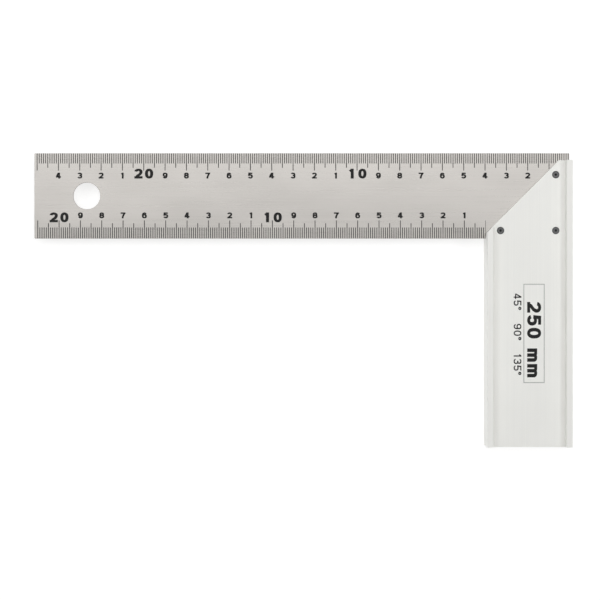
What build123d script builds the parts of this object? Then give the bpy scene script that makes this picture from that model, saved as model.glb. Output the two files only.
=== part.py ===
from build123d import *

import os

# A joiner's try square, lying flat: a thin steel blade in the sawn slot of a mitred aluminium stock,
# held by three flush rivets. Both faces of the square are alike.
#
# Millimetres. The origin is the square's inner corner, where the blade's inner edge meets the stock's
# inner face, on the plane that the stock rests on. The blade lies along X with its free end towards -X.
# The stock lies along Y with its free end towards -Y. +Z is up.

# Blade
BLADE_LENGTH = 250.8
BLADE_WIDTH = 40.0
BLADE_THICKNESS = 1.0
BLADE_CORNER_RADIUS = 0.4
BLADE_EDGE_BREAK = 0.1
HANGING_HOLE_DIAMETER = 12.5
HANGING_HOLE_FROM_END = 24.6

# Stock: an extruded bar with a raised flange along each side of both faces
STOCK_WIDTH = 39.7
STOCK_THICKNESS = 15.0
STOCK_REACH = 97.4  # from the blade's inner edge to the stock's free end
BLADE_STANDS_PROUD = 3.6  # from the stock's short end to the blade's outer edge
BLADE_TAIL_SET_BACK = 0.5  # from the stock's outer face to the blade's tail
SHOULDER_HEIGHT = 2.65  # from the blade's inner edge up the inner face to where the mitre starts
FLANGE_WIDTH = 2.9
FLANGE_CORNER_RADIUS = 0.3
PANEL_RECESS = 3.0
PANEL_ROOT_RADIUS = 0.3
END_CHAMFER = 0.1

# Rivets: their ends lie level with the recessed panels
RIVET_DIAMETER = 3.4
RIVET_RIM_RADIUS = 0.25
RIVET_SEAT_CHAMFER = 0.1
DIMPLE_DIAMETER = 1.2
DIMPLE_DEPTH = 0.5
RIVET_PLACES = {
    "rivet_top_outer": (32.25, 29.65),
    "rivet_lower_inner": (6.5, 3.6),
    "rivet_lower_outer": (32.25, 3.6),
}

# Places and lengths that follow from those
MID_HEIGHT = STOCK_THICKNESS / 2
BLADE_UNDERSIDE = MID_HEIGHT - BLADE_THICKNESS / 2
BLADE_FREE_END = STOCK_WIDTH - BLADE_TAIL_SET_BACK - BLADE_LENGTH
STOCK_SHORT_END = BLADE_WIDTH - BLADE_STANDS_PROUD
PANEL_WIDTH = STOCK_WIDTH - 2 * FLANGE_WIDTH
PANEL_UNDERSIDE = PANEL_RECESS
PANEL_TOP = STOCK_THICKNESS - PANEL_RECESS
OVERCUT = 1.0  # how far a saw cut runs on past the stock

os.makedirs("parts", exist_ok=True)


# The blade: a flat strip with a hanging hole near its free end and three rivet holes in its tail,
# which fills the stock's slot and ends just inside the stock's outer face.
with BuildPart() as blade:
    with BuildSketch(Plane.XY.offset(BLADE_UNDERSIDE)) as outline:
        with Locations((BLADE_FREE_END, 0)):
            Rectangle(BLADE_LENGTH, BLADE_WIDTH, align=(Align.MIN, Align.MIN))
        free_corners = outline.vertices().group_by(Axis.X)[0]
        fillet(free_corners, BLADE_CORNER_RADIUS)
        with Locations((BLADE_FREE_END + HANGING_HOLE_FROM_END, BLADE_WIDTH / 2)):
            Circle(HANGING_HOLE_DIAMETER / 2, mode=Mode.SUBTRACT)
    extrude(amount=BLADE_THICKNESS)
    chamfer(blade.faces().filter_by(Axis.Z).edges(), BLADE_EDGE_BREAK)
    with Locations(*[(x, y, MID_HEIGHT) for x, y in RIVET_PLACES.values()]):
        Hole(RIVET_DIAMETER / 2)
blade.part.label = "blade"
export_step(blade.part, "parts/blade.step")


# The stock: the bar's section, sawn to length and mitred at 45 degrees towards the blade, then slotted
# across its whole width from the short end down to the blade's inner edge, and drilled.
with BuildPart() as stock:
    with BuildSketch(Plane.XZ.offset(-STOCK_SHORT_END)) as section:
        Rectangle(STOCK_WIDTH, STOCK_THICKNESS, align=(Align.MIN, Align.MIN))
        with Locations((STOCK_WIDTH / 2, MID_HEIGHT)):
            with GridLocations(1, STOCK_THICKNESS - PANEL_RECESS, 1, 2):
                Rectangle(PANEL_WIDTH, PANEL_RECESS, mode=Mode.SUBTRACT)
        roots = section.vertices().filter_by_position(Axis.Y, PANEL_UNDERSIDE, PANEL_TOP)
        fillet(roots, PANEL_ROOT_RADIUS)
        flange_corners = section.vertices().group_by(Axis.Y)
        fillet(flange_corners[0] + flange_corners[-1], FLANGE_CORNER_RADIUS)
    extrude(amount=STOCK_REACH + STOCK_SHORT_END)

    with BuildSketch() as mitre_waste:
        with BuildLine():
            Polyline(
                (-OVERCUT, SHOULDER_HEIGHT - OVERCUT),
                (STOCK_SHORT_END - SHOULDER_HEIGHT + OVERCUT, STOCK_SHORT_END + OVERCUT),
                (-OVERCUT, STOCK_SHORT_END + OVERCUT),
                close=True,
            )
        make_face()
    extrude(amount=STOCK_THICKNESS, mode=Mode.SUBTRACT)
    chamfer(stock.faces().filter_by(Axis.Y).edges(), END_CHAMFER)

    with Locations((0, 0, MID_HEIGHT)):
        Box(
            STOCK_WIDTH,
            STOCK_SHORT_END,
            BLADE_THICKNESS,
            align=(Align.MIN, Align.MIN, Align.CENTER),
            mode=Mode.SUBTRACT,
        )

    with Locations(*[(x, y, MID_HEIGHT) for x, y in RIVET_PLACES.values()]):
        Hole(RIVET_DIAMETER / 2)
    hole_rims = stock.edges().filter_by(GeomType.CIRCLE).filter_by(Plane.XY).group_by(Axis.Z)
    chamfer(hole_rims[0] + hole_rims[-1], RIVET_SEAT_CHAMFER)
stock.part.label = "stock"
export_step(stock.part, "parts/stock.step")


# The rivets: solid pins with a rounded rim and a dimple from the setting punch at each end.
for rivet_name, (rivet_x, rivet_y) in RIVET_PLACES.items():
    rivet_axis = Axis((rivet_x, rivet_y, MID_HEIGHT), (0, 0, 1))
    half_length = PANEL_TOP - MID_HEIGHT
    dimple_floor = half_length - DIMPLE_DEPTH
    with BuildPart() as rivet:
        with BuildSketch(Plane(rivet_axis.position, x_dir=(1, 0, 0), z_dir=(0, -1, 0))) as half_profile:
            with BuildLine():
                Polyline(
                    (0, -dimple_floor),
                    (DIMPLE_DIAMETER / 2, -half_length),
                    (RIVET_DIAMETER / 2, -half_length),
                    (RIVET_DIAMETER / 2, half_length),
                    (DIMPLE_DIAMETER / 2, half_length),
                    (0, dimple_floor),
                    close=True,
                )
            make_face()
            rim_corners = half_profile.vertices().group_by(Axis.X)[-1]
            fillet(rim_corners, RIVET_RIM_RADIUS)
        revolve(axis=rivet_axis)
    rivet.part.label = rivet_name
    export_step(rivet.part, f"parts/{rivet_name}.step")
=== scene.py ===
from functools import cache, reduce
from math import copysign, cos, pi, radians, sin

import bmesh
import bpy
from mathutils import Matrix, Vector
from mathutils.geometry import delaunay_2d_cdt


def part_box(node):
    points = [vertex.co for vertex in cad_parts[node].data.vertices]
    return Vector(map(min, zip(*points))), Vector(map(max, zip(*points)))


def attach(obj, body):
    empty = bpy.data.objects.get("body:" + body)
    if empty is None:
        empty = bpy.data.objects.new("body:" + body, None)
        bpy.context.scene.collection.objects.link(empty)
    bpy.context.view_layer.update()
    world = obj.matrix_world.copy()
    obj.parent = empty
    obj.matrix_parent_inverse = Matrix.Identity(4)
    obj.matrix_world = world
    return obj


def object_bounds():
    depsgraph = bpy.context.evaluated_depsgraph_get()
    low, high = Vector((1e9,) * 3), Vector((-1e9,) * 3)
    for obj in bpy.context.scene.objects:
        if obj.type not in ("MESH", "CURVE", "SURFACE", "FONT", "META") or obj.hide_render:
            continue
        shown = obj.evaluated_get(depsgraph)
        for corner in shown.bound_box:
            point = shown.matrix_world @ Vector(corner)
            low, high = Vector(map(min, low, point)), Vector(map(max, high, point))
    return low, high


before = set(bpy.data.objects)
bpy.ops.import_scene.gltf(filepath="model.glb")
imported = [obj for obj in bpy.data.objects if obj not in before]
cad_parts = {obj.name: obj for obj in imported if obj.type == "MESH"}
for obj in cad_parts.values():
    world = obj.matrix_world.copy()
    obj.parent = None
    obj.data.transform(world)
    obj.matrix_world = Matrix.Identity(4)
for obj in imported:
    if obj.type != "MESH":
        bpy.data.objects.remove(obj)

# A joiner's try square lying flat. The steel blade, the aluminium stock and the rivets are the packed
# CAD pieces and get their materials here. The scales on both faces of the blade and the mark on the
# stock are thin inlays of ink. Metres, except where a name or comment says millimetres.

CAD_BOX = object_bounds()
MM = 0.001

BLADE_LOW, BLADE_HIGH = (Vector(corner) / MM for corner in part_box("blade"))
STOCK_LOW, STOCK_HIGH = (Vector(corner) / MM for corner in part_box("stock"))
PANEL_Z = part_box("rivet_lower_outer")[1][2] / MM  # the rivets' ends are level with the stock's panel


# ---------------------------------------------------------------- ink, in millimetres

INK_ABOVE = 0.015  # how far a line of ink stands on the metal
INK_BELOW = 0.010  # and how far it is let in, so that nothing shows under it


def union(polygons):
    """One flat mesh of triangles, as corners and faces, for polygons that may overlap."""
    corners, faces = [], []
    for polygon in polygons:
        faces.append(list(range(len(corners), len(corners) + len(polygon))))
        corners.extend(Vector(point) for point in polygon)
    inside_only, nearest = 1, 1e-5
    corners, _, faces, _, _, covered_by = delaunay_2d_cdt(corners, [], faces, inside_only, nearest)
    faces = [face for face, polygons_over_it in zip(faces, covered_by) if polygons_over_it]
    return [(corner.x, corner.y) for corner in corners], faces


def add_slab(mesh, flat, place):
    """Adds a flat mesh to a bmesh as a closed slab of ink. place takes (across, up, out) to the frame."""
    corners, faces = flat
    top = [mesh.verts.new(place(x, y, INK_ABOVE)) for x, y in corners]
    bottom = [mesh.verts.new(place(x, y, -INK_BELOW)) for x, y in corners]
    edges = {}
    for face in faces:
        mesh.faces.new([top[i] for i in face])
        mesh.faces.new([bottom[i] for i in reversed(face)])
        for a, b in zip(face, face[1:] + face[:1]):
            edges[a, b] = edges.get((b, a), 0) + 1
    for a, b in edges:
        if (b, a) not in edges:
            mesh.faces.new([top[b], top[a], bottom[a], bottom[b]])


def finish_ink(name, mesh, material):
    """Makes a bmesh in millimetres a piece of ink in the frame."""
    bmesh.ops.scale(mesh, vec=(MM, MM, MM), verts=mesh.verts)
    bmesh.ops.recalc_face_normals(mesh, faces=mesh.faces)
    data = bpy.data.meshes.new(name)
    mesh.to_mesh(data)
    mesh.free()
    data.materials.append(material)
    piece = bpy.data.objects.new(name, data)
    bpy.context.scene.collection.objects.link(piece)
    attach(piece, "root")


# ---------------------------------------------------------------- signs, one unit high

SQUARENESS = 0.86  # below 1, a bowl is fuller than an ellipse
SAME_PLACE = 1e-6


def bowl(x, y, wide, high, start, end, steps=18):
    """Points along a bowl round (x, y), from one angle to another in degrees."""
    points = []
    for i in range(steps + 1):
        angle = radians(start + (end - start) * i / steps)
        across = copysign(abs(cos(angle)) ** SQUARENESS, cos(angle))
        up = copysign(abs(sin(angle)) ** SQUARENESS, sin(angle))
        points.append((x + wide * across, y + high * up))
    return points


def strokes(sign, pen, width):
    """The centre lines of a sign's pen strokes, in a box of this width from the base line up to 1.

    Plain numbers are heights in the box, shares of reach across it, or a bowl's ends in degrees.
    """
    half = pen / 2
    reach = width / 2 - half  # from the middle to the outermost upright line
    low, high = half, 1 - half  # the lowest and the highest level line
    top_high, bottom_high = 0.245 - half / 2, 0.275 - half / 2  # half the height of a 3's or an 8's bowls
    if sign == "0":
        return [bowl(0, 0.5, reach, 0.5 - half, 0, 360, 36)]
    if sign == "1":
        stem = 0.3 * reach
        return [
            [(stem, 0), (stem, 1)],
            [(-1.2 * reach, 0.74), (-0.35 * reach, 0.81), (stem, 0.99 - half / 2)],
        ]
    if sign == "2":
        start = (high + 0.46) / 2
        round_part = bowl(0, start, reach, high - start, 172, -20)
        slope = [(0.55 * reach, 0.44), (-0.35 * reach, 0.28), (-0.8 * reach, low)]
        return [round_part + slope, [(-reach - half, low), (reach + half, low)]]
    if sign == "3":
        upper = bowl(0, high - top_high, 0.93 * reach, top_high, 165, -90)
        lower = bowl(0, low + bottom_high, reach, bottom_high, 90, -165)
        return [upper + [(-0.25 * reach, upper[-1][1])], [(-0.25 * reach, lower[0][1])] + lower]
    if sign == "4":
        bar, stem = 0.22 + half / 2, 0.42 * reach
        return [
            [(stem, 0), (stem, 1)],
            [(-reach - half, bar), (reach + half, bar)],
            [(stem - half * 0.4, 0.96), (-reach - half * 0.3, bar + half * 0.2)],
        ]
    if sign == "5":
        lower = bowl(0, low + 0.245, reach, 0.245, 128, -165)
        return [
            [(-0.75 * reach, high), (reach + half * 0.5, high)],
            [(-0.72 * reach, 1), (-0.95 * reach, 0.44)],
            lower,
        ]
    if sign in "69":
        ring = bowl(0, low + 0.24, reach, 0.24, 0, 360, 36)
        back = bowl(0, 0.5, reach, 0.5 - half, 205, 28)
        lines = [ring, back]
        if sign == "9":
            lines = [[(-x, 1 - y) for x, y in line] for line in lines]
        return lines
    if sign == "7":
        return [
            [(-reach - half, high), (reach + half, high)],
            [(reach, high), (0.35 * reach, 0.6), (-0.15 * reach, 0.3), (-0.3 * reach, 0)],
        ]
    if sign == "8":
        return [
            bowl(0, high - top_high, 0.9 * reach, top_high, 0, 360, 36),
            bowl(0, low + bottom_high, reach, bottom_high, 0, 360, 36),
        ]
    if sign == "°":
        ring = 0.16 - half / 2
        return [bowl(0, high - ring, ring, ring, 0, 360, 24)]
    if sign == "m":
        x_height = 0.72
        arch = reach / 2
        lines = [[(-reach, 0), (-reach, x_height)]]
        for middle in (-arch, arch):
            lines.append(bowl(middle, x_height - half - arch, arch, arch, 180, 0) + [(middle + arch, 0)])
        return lines
    raise ValueError(f"no strokes for {sign}")


def ribbon(points, half):
    """The quads that a pen of this half width covers along the points."""
    path = [Vector(point) for point in points]
    closed = (path[0] - path[-1]).length < SAME_PLACE
    if closed:
        path.pop()
    sides = []
    for i, here in enumerate(path):
        has_before, has_after = closed or i > 0, closed or i < len(path) - 1
        after = path[(i + 1) % len(path)]
        into = (here - path[i - 1] if has_before else after - here).normalized()
        out = (after - here if has_after else here - path[i - 1]).normalized()
        left = Vector((-into.y, into.x))
        mitre = (left + Vector((-out.y, out.x))).normalized()
        mitre *= half / mitre.dot(left)
        sides.append((here + mitre, here - mitre))
    following = sides[1:] + sides[:1] if closed else sides[1:]
    return [(a, b, d, c) for (a, b), (c, d) in zip(sides, following)]


@cache
def glyph(sign, pen, width):
    """A sign's flat mesh, made once."""
    return union(quad for line in strokes(sign, pen, width) for quad in ribbon(line, pen / 2))


# ---------------------------------------------------------------- the scales, in millimetres

TICK_WIDTH = 0.36
TICK_LENGTHS = {10: 8.3, 5: 7.0, 1: 5.0}  # of every tenth, every fifth and every other tick
PRINT_SHIFT = 0.2  # the whole print lies this much towards the outer edge
EDGE_BREAK = 0.1  # the blade's edge breaks, which the print keeps off
SMALL_HIGH, LARGE_HIGH = 2.8, 4.65
NUMERAL_FOOT = 12.07  # from the blade's edge to the far side of its numerals
NUMERAL_PEN = 0.24  # the pen's and the signs' widths are in units of a sign's height
NUMERAL_WIDTHS = {"1": 0.5}
OTHER_WIDTH = 0.64
NUMERAL_STRETCH = 1.3  # wide numerals, so that upright strokes are also the heavier ones
PAIR_OFFSET = 2.5  # the two digits of 10 and 20 stand this far each side of their tick
SHOULDER = 2.65  # the mitre starts this far up the stock's inner face


def stock_covers_to(x):
    """How far up the blade the stock reaches at this x."""
    if x <= 0:
        return BLADE_LOW.y
    return min(x + SHOULDER, STOCK_HIGH.y)


def tick_length(mm):
    return next(length for step, length in TICK_LENGTHS.items() if mm % step == 0)


def add_ticks(mesh, side, scale):
    """Adds a scale's ticks, one a millimetre, each cut off where the stock covers it."""
    start = scale["edge"] + scale["inward"] * EDGE_BREAK

    def place(x, y, out):
        return (x, y, side["z"] + side["out"] * out)

    for mm in range(scale["last"] + 1):
        x = scale["zero"] - mm
        x_low = max(x - TICK_WIDTH / 2, BLADE_LOW.x + EDGE_BREAK)
        x_high = min(x + TICK_WIDTH / 2, scale["zero"], BLADE_HIGH.x - EDGE_BREAK)
        end = scale["edge"] + scale["inward"] * tick_length(mm) + PRINT_SHIFT
        y_low, y_high = sorted((start, end))
        y_low = max(y_low, stock_covers_to(x_high))
        if x_low < x_high and y_low < y_high:
            outline = [(x_low, y_low), (x_high, y_low), (x_high, y_high), (x_low, y_high)]
            add_slab(mesh, (outline, [[0, 1, 2, 3]]), place)


def add_numerals(mesh, side, scale):
    """Adds a scale's centimetre numerals. A multiple of ten stands large on both sides of its tick."""
    for cm in range(scale["first_numeral"], scale["last_numeral"] + 1):
        x = scale["zero"] - 10 * cm
        if cm % 10:
            add_sign(mesh, side, str(cm % 10), x, scale, SMALL_HIGH)
        else:
            for digit, offset in zip(str(cm), (-PAIR_OFFSET, PAIR_OFFSET)):
                add_sign(mesh, side, digit, x + side["right"] * offset, scale, LARGE_HIGH)


def add_sign(mesh, side, sign, x, scale, high):
    """Adds one numeral in line with x. All of a scale's numerals end on one line, away from its edge."""
    width = NUMERAL_WIDTHS.get(sign, OTHER_WIDTH)
    far = scale["edge"] + scale["inward"] * NUMERAL_FOOT + PRINT_SHIFT
    base = far if scale["inward"] < 0 else far - high

    def place(across, up, out):
        return (
            x + side["right"] * across * high * NUMERAL_STRETCH,
            base + up * high,
            side["z"] + side["out"] * out,
        )

    add_slab(mesh, glyph(sign, NUMERAL_PEN, width), place)


SIDES = {
    "front": {"right": 1, "out": 1, "z": BLADE_HIGH.z},
    "back": {"right": -1, "out": -1, "z": BLADE_LOW.z},
}
SCALES = {
    "outer": {
        "zero": STOCK_HIGH.x, "edge": BLADE_HIGH.y, "inward": -1,
        "last": 250, "first_numeral": 2, "last_numeral": 24,
    },
    "inner": {
        "zero": STOCK_LOW.x, "edge": BLADE_LOW.y, "inward": 1,
        "last": 210, "first_numeral": 1, "last_numeral": 20,
    },
}


# ---------------------------------------------------------------- the mark on the stock, in millimetres

MARK_TOP, MARK_BOTTOM = -21.3, -67.5  # along the stock, in Y
FRAME_LEFT, FRAME_RIGHT = 17.2, 27.0  # across it, in X
FRAME_LINE = 0.32
SIZE_LINE = {
    "text": "250 mm", "pen": 0.215, "stretch": 1.2, "widths": {"m": 0.8},
    "high": 6.5, "base_x": 18.9, "end_y": MARK_BOTTOM + 2.6,
}
ANGLE_LINE = {
    "text": "45°   90°   135°", "pen": 0.15, "stretch": 1.1, "widths": {"1": 0.4, "°": 0.34},
    "high": 3.6, "base_x": 12.6, "end_y": MARK_BOTTOM + 3.8,
}
LETTER_GAP, SPACE = 0.16, 0.55  # in units of a sign's height


def on_stock(x, y, out):
    return (x, y, PANEL_Z + out)


def line_of_signs(text, stretch, widths):
    """(sign, width, middle) for each sign of a line that starts at 0, in units of its height."""
    at, placed = 0.0, []
    for sign in text:
        if sign == " ":
            at += SPACE
            continue
        width = widths.get(sign, OTHER_WIDTH)
        placed.append((sign, width, at + width * stretch / 2))
        at += width * stretch + LETTER_GAP
    return placed, at - LETTER_GAP


def add_line(mesh, text, pen, stretch, widths, high, base_x, end_y):
    """Adds a line that reads down the stock and ends at end_y, the signs' tops towards +X."""
    placed, length = line_of_signs(text, stretch, widths)
    for sign, width, at in placed:

        def place(across, up, out):
            return on_stock(base_x + up * high, end_y + (length - at - across * stretch) * high, out)

        add_slab(mesh, glyph(sign, pen, width), place)


def add_outline(mesh, left, right, bottom, top, line):
    """Adds a thin rectangular outline with mitred corners."""
    outer = [(left, bottom), (right, bottom), (right, top), (left, top)]
    inner = [(left + line, bottom + line), (right - line, bottom + line)]
    inner += [(right - line, top - line), (left + line, top - line)]
    faces = [[i, (i + 1) % 4, 4 + (i + 1) % 4, 4 + i] for i in range(4)]
    add_slab(mesh, (outer + inner, faces), on_stock)


# ---------------------------------------------------------------- materials

STEEL_DARK, STEEL_LIGHT = (0.475, 0.456, 0.433), (0.557, 0.534, 0.509)
STEEL_SCUFFED = (0.605, 0.582, 0.557)
ALUMINIUM_DARK, ALUMINIUM_LIGHT = (0.868, 0.867, 0.84), (0.948, 0.947, 0.92)
RIVET_DARK, RIVET_LIGHT = (0.105, 0.107, 0.108), (0.175, 0.177, 0.175)
# painted shade: the near-black that the rivets' edge ring and middle hollow are darkened to
RIVET_PAINTED_SHADE = (0.035, 0.036, 0.037)
RIVET_RINGS = 190.0  # the turning marks' phase, in radians across a rivet's width
BOX_MIDDLE = (0.5, 0.5, 0.5)
BLACK_DARK, BLACK_LIGHT = (0.008, 0.008, 0.008), (0.016, 0.016, 0.016)
GREY_DARK, GREY_LIGHT = (0.33, 0.34, 0.33), (0.40, 0.41, 0.40)
FLOOR_DARK, FLOOR_LIGHT = (0.43, 0.43, 0.427), (0.46, 0.46, 0.457)
FLOOR_GLOW = 0.70
NOISE_ROUGHNESS = 0.55


class Shader:
    """A material being built: a Principled shader and short ways to add nodes to it."""

    def __init__(self, name):
        self.material = bpy.data.materials.new(name)
        self.material.use_nodes = True
        self.tree = self.material.node_tree
        self.principled = self.tree.nodes["Principled BSDF"]
        coordinates = self.node("TexCoord")
        self.place = coordinates.outputs["Object"]
        self.own_box = coordinates.outputs["Generated"]
        self.normal = coordinates.outputs["Normal"]

    def node(self, kind, **settings):
        made = self.tree.nodes.new("ShaderNode" + kind)
        for name, value in settings.items():
            setattr(made, name, value)
        return made

    def put(self, socket, value):
        """Links an output to an input, or sets the input's own value."""
        if isinstance(value, bpy.types.NodeSocket):
            self.tree.links.new(value, socket)
        else:
            socket.default_value = value

    def math(self, operation, a, b=0.0):
        made = self.node("Math", operation=operation)
        self.put(made.inputs[0], a)
        self.put(made.inputs[1], b)
        return made.outputs[0]

    def total(self, *weighed):
        """The sum of outputs, each given with its weight."""
        products = [self.math("MULTIPLY", output, weight) for output, weight in weighed]
        return reduce(lambda a, b: self.math("ADD", a, b), products)

    def noise(self, cell_mm, detail=3.0, offset=0.0):
        """Noise, mostly from 0.3 to 0.7, with cells of this size in millimetres along X, Y and Z."""
        mapping = self.node("Mapping")
        self.put(mapping.inputs["Vector"], self.place)
        mapping.inputs["Scale"].default_value = [1 / (size * MM) for size in cell_mm]
        mapping.inputs["Location"].default_value = (offset, offset, offset)
        made = self.node("TexNoise")
        self.put(made.inputs["Vector"], mapping.outputs[0])
        made.inputs["Scale"].default_value = 1.0
        made.inputs["Detail"].default_value = detail
        made.inputs["Roughness"].default_value = NOISE_ROUGHNESS
        return made.outputs["Fac"]

    def spread(self, value, low, high, to_low=0.0, to_high=1.0):
        """Stretches values between low and high over another range, held at its ends."""
        made = self.node("MapRange")
        ends = {"From Min": low, "From Max": high, "To Min": to_low, "To Max": to_high}
        for name, number in ends.items():
            made.inputs[name].default_value = number
        self.put(made.inputs["Value"], value)
        return made.outputs["Result"]

    def mix(self, factor, a, b):
        made = self.node("Mix", data_type="RGBA")
        self.put(made.inputs["Factor"], factor)
        self.put(made.inputs["A"], a if isinstance(a, bpy.types.NodeSocket) else (*a, 1.0))
        self.put(made.inputs["B"], b if isinstance(b, bpy.types.NodeSocket) else (*b, 1.0))
        return made.outputs["Result"]

    def blend(self, factor, a, b):
        """Plain numbers or outputs, a at factor 0 and b at factor 1."""
        made = self.node("Mix", data_type="FLOAT")
        self.put(made.inputs["Factor"], factor)
        self.put(made.inputs["A"], a)
        self.put(made.inputs["B"], b)
        return made.outputs["Result"]

    def bump(self, height, distance_mm, strength):
        made = self.node("Bump")
        made.inputs["Strength"].default_value = strength
        made.inputs["Distance"].default_value = distance_mm * MM
        self.put(made.inputs["Height"], height)
        self.put(self.principled.inputs["Normal"], made.outputs["Normal"])

    def set(self, **values):
        for name, value in values.items():
            self.put(self.principled.inputs[name.replace("_", " ")], value)


def brushed_steel():
    """The blade: stainless steel with long fine brushing along X and faint cloudiness."""
    shader = Shader("brushed stainless steel")
    hairlines = shader.noise((70.0, 0.09, 0.09), detail=2.0)
    streaks = shader.noise((110.0, 0.45, 0.45), detail=2.0, offset=7.0)
    clouds = shader.noise((45.0, 18.0, 18.0), detail=2.0, offset=3.7)
    scuffs = shader.noise((3.0, 0.35, 0.35), detail=4.0, offset=11.0)
    grain = shader.total((hairlines, 0.6), (streaks, 0.4))
    tone = shader.total((grain, 0.55), (clouds, 0.45))
    brushed = shader.mix(shader.spread(tone, 0.35, 0.65), STEEL_DARK, STEEL_LIGHT)
    scuffed = shader.spread(scuffs, 0.66, 0.74, to_high=0.35)
    shader.set(
        Base_Color=shader.mix(scuffed, brushed, STEEL_SCUFFED),
        Metallic=1.0,
        Roughness=shader.spread(grain, 0.3, 0.7, to_low=0.25, to_high=0.36),
        Anisotropic=0.35,
    )
    tangent = shader.node("Tangent", direction_type="RADIAL", axis="X")
    shader.put(shader.principled.inputs["Tangent"], tangent.outputs[0])
    shader.bump(grain, distance_mm=0.004, strength=0.8)
    return shader.material


def anodised_aluminium():
    """The stock: silver anodising with extrusion lines along Y, and saw marks on its cut ends."""
    shader = Shader("silver anodised aluminium")
    fine = shader.noise((0.14, 60.0, 0.14), detail=2.0)
    broad = shader.noise((1.3, 160.0, 1.3), detail=2.0, offset=5.0)
    clouds = shader.noise((22.0, 30.0, 22.0), detail=2.0, offset=2.0)
    saw = shader.noise((40.0, 40.0, 0.2), detail=3.0, offset=9.0)
    matt = shader.noise((0.2, 0.2, 0.2), detail=3.0)
    lines = shader.total((fine, 0.6), (broad, 0.4))
    parts = shader.node("SeparateXYZ")
    shader.put(parts.inputs[0], shader.normal)
    cut_end = shader.spread(shader.math("ABSOLUTE", parts.outputs["Y"]), 0.5, 0.65)
    marks = shader.blend(cut_end, lines, saw)
    tone = shader.total((marks, 0.55), (matt, 0.25), (clouds, 0.2))
    shader.set(
        Base_Color=shader.mix(shader.spread(tone, 0.33, 0.67), ALUMINIUM_DARK, ALUMINIUM_LIGHT),
        Metallic=0.45,
        Roughness=shader.spread(marks, 0.3, 0.7, to_low=0.68, to_high=0.82),
    )
    shader.bump(shader.total((marks, 0.5), (matt, 0.5)), distance_mm=0.03, strength=0.7)
    return shader.material


def rivet_steel():
    """The rivets: dull dark steel, turned, with painted shade darkening the ring at each end's edge and
    the punched hollow in its middle.
    """
    shader = Shader("dark rivet steel")
    centred = shader.node("VectorMath", operation="SUBTRACT")
    shader.put(centred.inputs[0], shader.own_box)
    centred.inputs[1].default_value = BOX_MIDDLE
    parts = shader.node("SeparateXYZ")
    shader.put(parts.inputs[0], centred.outputs[0])
    flat = shader.node("CombineXYZ")
    shader.put(flat.inputs[0], parts.outputs["X"])
    shader.put(flat.inputs[1], parts.outputs["Y"])
    length = shader.node("VectorMath", operation="LENGTH")
    shader.put(length.inputs[0], flat.outputs[0])
    radius = length.outputs["Value"]  # from the rivet's axis, in rivet widths
    rings = shader.math("SINE", shader.math("MULTIPLY", radius, RIVET_RINGS))
    grime = shader.noise((0.5, 0.5, 0.5), detail=3.0)
    # Painted shade: the punched hollow in the middle and a ring at the edge of the rivet's end are mixed
    # towards near-black, standing in for the shade in the hollow and in the gap round the end.
    dimple_shade = shader.spread(radius, 0.13, 0.20, to_low=1.0, to_high=0.0)
    rim_shade = shader.spread(radius, 0.37, 0.47)
    dark = shader.math("MAXIMUM", dimple_shade, rim_shade)
    face = shader.mix(shader.spread(grime, 0.35, 0.65), RIVET_DARK, RIVET_LIGHT)
    shader.set(
        Base_Color=shader.mix(dark, face, RIVET_PAINTED_SHADE),
        Metallic=0.9,
        Roughness=shader.spread(grime, 0.3, 0.7, to_low=0.40, to_high=0.58),
    )
    shader.bump(shader.total((rings, 0.4), (grime, 1.0)), distance_mm=0.01, strength=0.5)
    return shader.material


def ink(name, dark, light):
    """Printed ink: matt, a little uneven in density, with a faint bump from that unevenness."""
    shader = Shader(name)
    density = shader.noise((1.2, 0.25, 0.25), detail=3.0)
    shader.set(
        Base_Color=shader.mix(shader.spread(density, 0.35, 0.7), dark, light),
        Roughness=shader.spread(density, 0.3, 0.7, to_low=0.5, to_high=0.7),
        Specular_IOR_Level=0.25,
    )
    shader.bump(density, distance_mm=0.004, strength=0.5)
    return shader.material


def pale_floor():
    """A plain pale floor, lit a little from below as a light table is."""
    shader = Shader("pale floor")
    mottle = shader.noise((180.0, 180.0, 180.0), detail=2.0)
    shader.set(
        Base_Color=shader.mix(mottle, FLOOR_DARK, FLOOR_LIGHT),
        Roughness=0.9,
        Emission_Color=(1.0, 1.0, 1.0, 1.0),
        Emission_Strength=FLOOR_GLOW,
    )
    return shader.material


# ---------------------------------------------------------------- floor, light and camera, in metres

FLOOR_HALF_WIDTH = 3.0
HORIZON, ZENITH = 0.22, 0.27  # the surroundings' brightness, level with the square and straight above
BANK_HEIGHT = 1.6
BANK_START = 0.14  # the bank's near edge is this far towards +Y from the square's middle
BANK_SIZE, BANK_RADIANCE = (2.4, 1.5), 1.8
SOFTBOX_AZIMUTHS = {"left_softbox": 180, "right_softbox": 0}  # these and the elevation in degrees
SOFTBOX_ELEVATION, SOFTBOX_DISTANCE = 46, 1.6
SOFTBOX_SIZE, SOFTBOX_RADIANCE = (0.9, 0.35), 4.2
CAMERA_HEIGHT, CAMERA_SHIFT = 0.78, (-1.1 * MM, -0.1 * MM)
CLIP_START = 0.01
FOCAL_LENGTH, SENSOR_WIDTH = 98.8, 36.0  # these two in millimetres


# ---------------------------------------------------------------- putting it together


def paint(node, material):
    """Gives a CAD piece its material, in the slots it has."""
    for slot in bpy.data.objects[node].material_slots:
        slot.material = material


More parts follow.
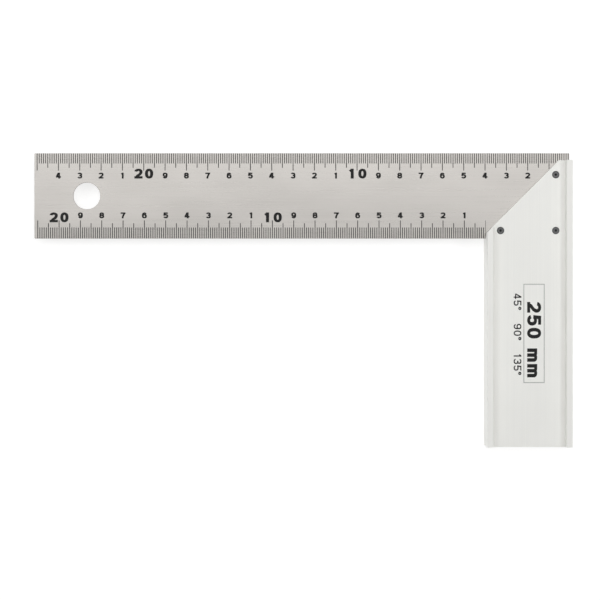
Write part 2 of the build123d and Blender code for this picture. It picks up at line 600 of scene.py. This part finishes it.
def build_print():
    black = ink("black ink", BLACK_DARK, BLACK_LIGHT)
    grey = ink("grey ink", GREY_DARK, GREY_LIGHT)
    for side_name, side in SIDES.items():
        for scale_name, scale in SCALES.items():
            ticks, numerals = bmesh.new(), bmesh.new()
            add_ticks(ticks, side, scale)
            add_numerals(numerals, side, scale)
            finish_ink(f"{side_name}_{scale_name}_ticks", ticks, black)
            finish_ink(f"{side_name}_{scale_name}_numerals", numerals, black)

    for name, line in (("stock_size_mark", SIZE_LINE), ("stock_angle_mark", ANGLE_LINE)):
        signs = bmesh.new()
        add_line(signs, **line)
        finish_ink(name, signs, black)

    outline = bmesh.new()
    add_outline(outline, FRAME_LEFT, FRAME_RIGHT, MARK_BOTTOM, MARK_TOP, FRAME_LINE)
    finish_ink("stock_mark_outline", outline, grey)


def build_floor():
    half = FLOOR_HALF_WIDTH
    data = bpy.data.meshes.new("floor")
    level = CAD_BOX[0][2]
    corners = [(-half, -half, level), (half, -half, level), (half, half, level), (-half, half, level)]
    data.from_pydata(corners, [], [(0, 1, 2, 3)])
    data.materials.append(pale_floor())
    floor = bpy.data.objects.new("floor", data)
    bpy.context.scene.collection.objects.link(floor)


def add_panel_light(name, size, radiance):
    """A rectangular light of this radiance, which faces down."""
    light = bpy.data.lights.new(name, "AREA")
    light.shape = "RECTANGLE"
    light.size, light.size_y = size
    light.energy = radiance * pi * size[0] * size[1]
    lamp = bpy.data.objects.new(name, light)
    bpy.context.scene.collection.objects.link(lamp)
    return lamp


def build_studio(middle):
    """Soft light from all round, a long bank of light overhead towards +Y, and a softbox at each side."""
    world = bpy.data.worlds.new("studio")
    bpy.context.scene.world = world
    world.use_nodes = True
    tree = world.node_tree
    background = tree.nodes["Background"]
    coordinates = tree.nodes.new("ShaderNodeTexCoord")
    parts = tree.nodes.new("ShaderNodeSeparateXYZ")
    ramp = tree.nodes.new("ShaderNodeMapRange")
    tree.links.new(coordinates.outputs["Generated"], parts.inputs[0])
    tree.links.new(parts.outputs["Z"], ramp.inputs["Value"])
    ramp.inputs["To Min"].default_value = HORIZON
    ramp.inputs["To Max"].default_value = ZENITH
    tree.links.new(ramp.outputs["Result"], background.inputs["Strength"])
    background.inputs["Color"].default_value = (1.0, 1.0, 1.0, 1.0)

    bank = add_panel_light("overhead_bank", BANK_SIZE, BANK_RADIANCE)
    bank.location = (middle.x, middle.y + BANK_START + BANK_SIZE[1] / 2, BANK_HEIGHT)
    for name, azimuth in SOFTBOX_AZIMUTHS.items():
        up, around = radians(SOFTBOX_ELEVATION), radians(azimuth)
        direction = Vector((cos(up) * cos(around), cos(up) * sin(around), sin(up)))
        softbox = add_panel_light(name, SOFTBOX_SIZE, SOFTBOX_RADIANCE)
        softbox.location = middle + SOFTBOX_DISTANCE * direction
        softbox.rotation_euler = direction.to_track_quat("Z", "Y").to_euler()


def build_camera(middle):
    """Straight above the square, at the height that the flanges' and the blade's sizes agree on."""
    data = bpy.data.cameras.new("camera")
    data.sensor_width = SENSOR_WIDTH
    data.lens = FOCAL_LENGTH
    data.clip_start = CLIP_START
    camera = bpy.data.objects.new("camera", data)
    camera.location = (middle.x + CAMERA_SHIFT[0], middle.y + CAMERA_SHIFT[1], CAMERA_HEIGHT)
    bpy.context.scene.collection.objects.link(camera)
    bpy.context.scene.camera = camera


middle = (Vector(CAD_BOX[0]) + Vector(CAD_BOX[1])) / 2
dark_steel = rivet_steel()
paint("blade", brushed_steel())
paint("stock", anodised_aluminium())
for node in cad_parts:
    if node.startswith("rivet"):
        paint(node, dark_steel)
build_print()
build_floor()
build_studio(middle)
build_camera(middle)
bpy.context.scene.view_settings.view_transform = "Standard"
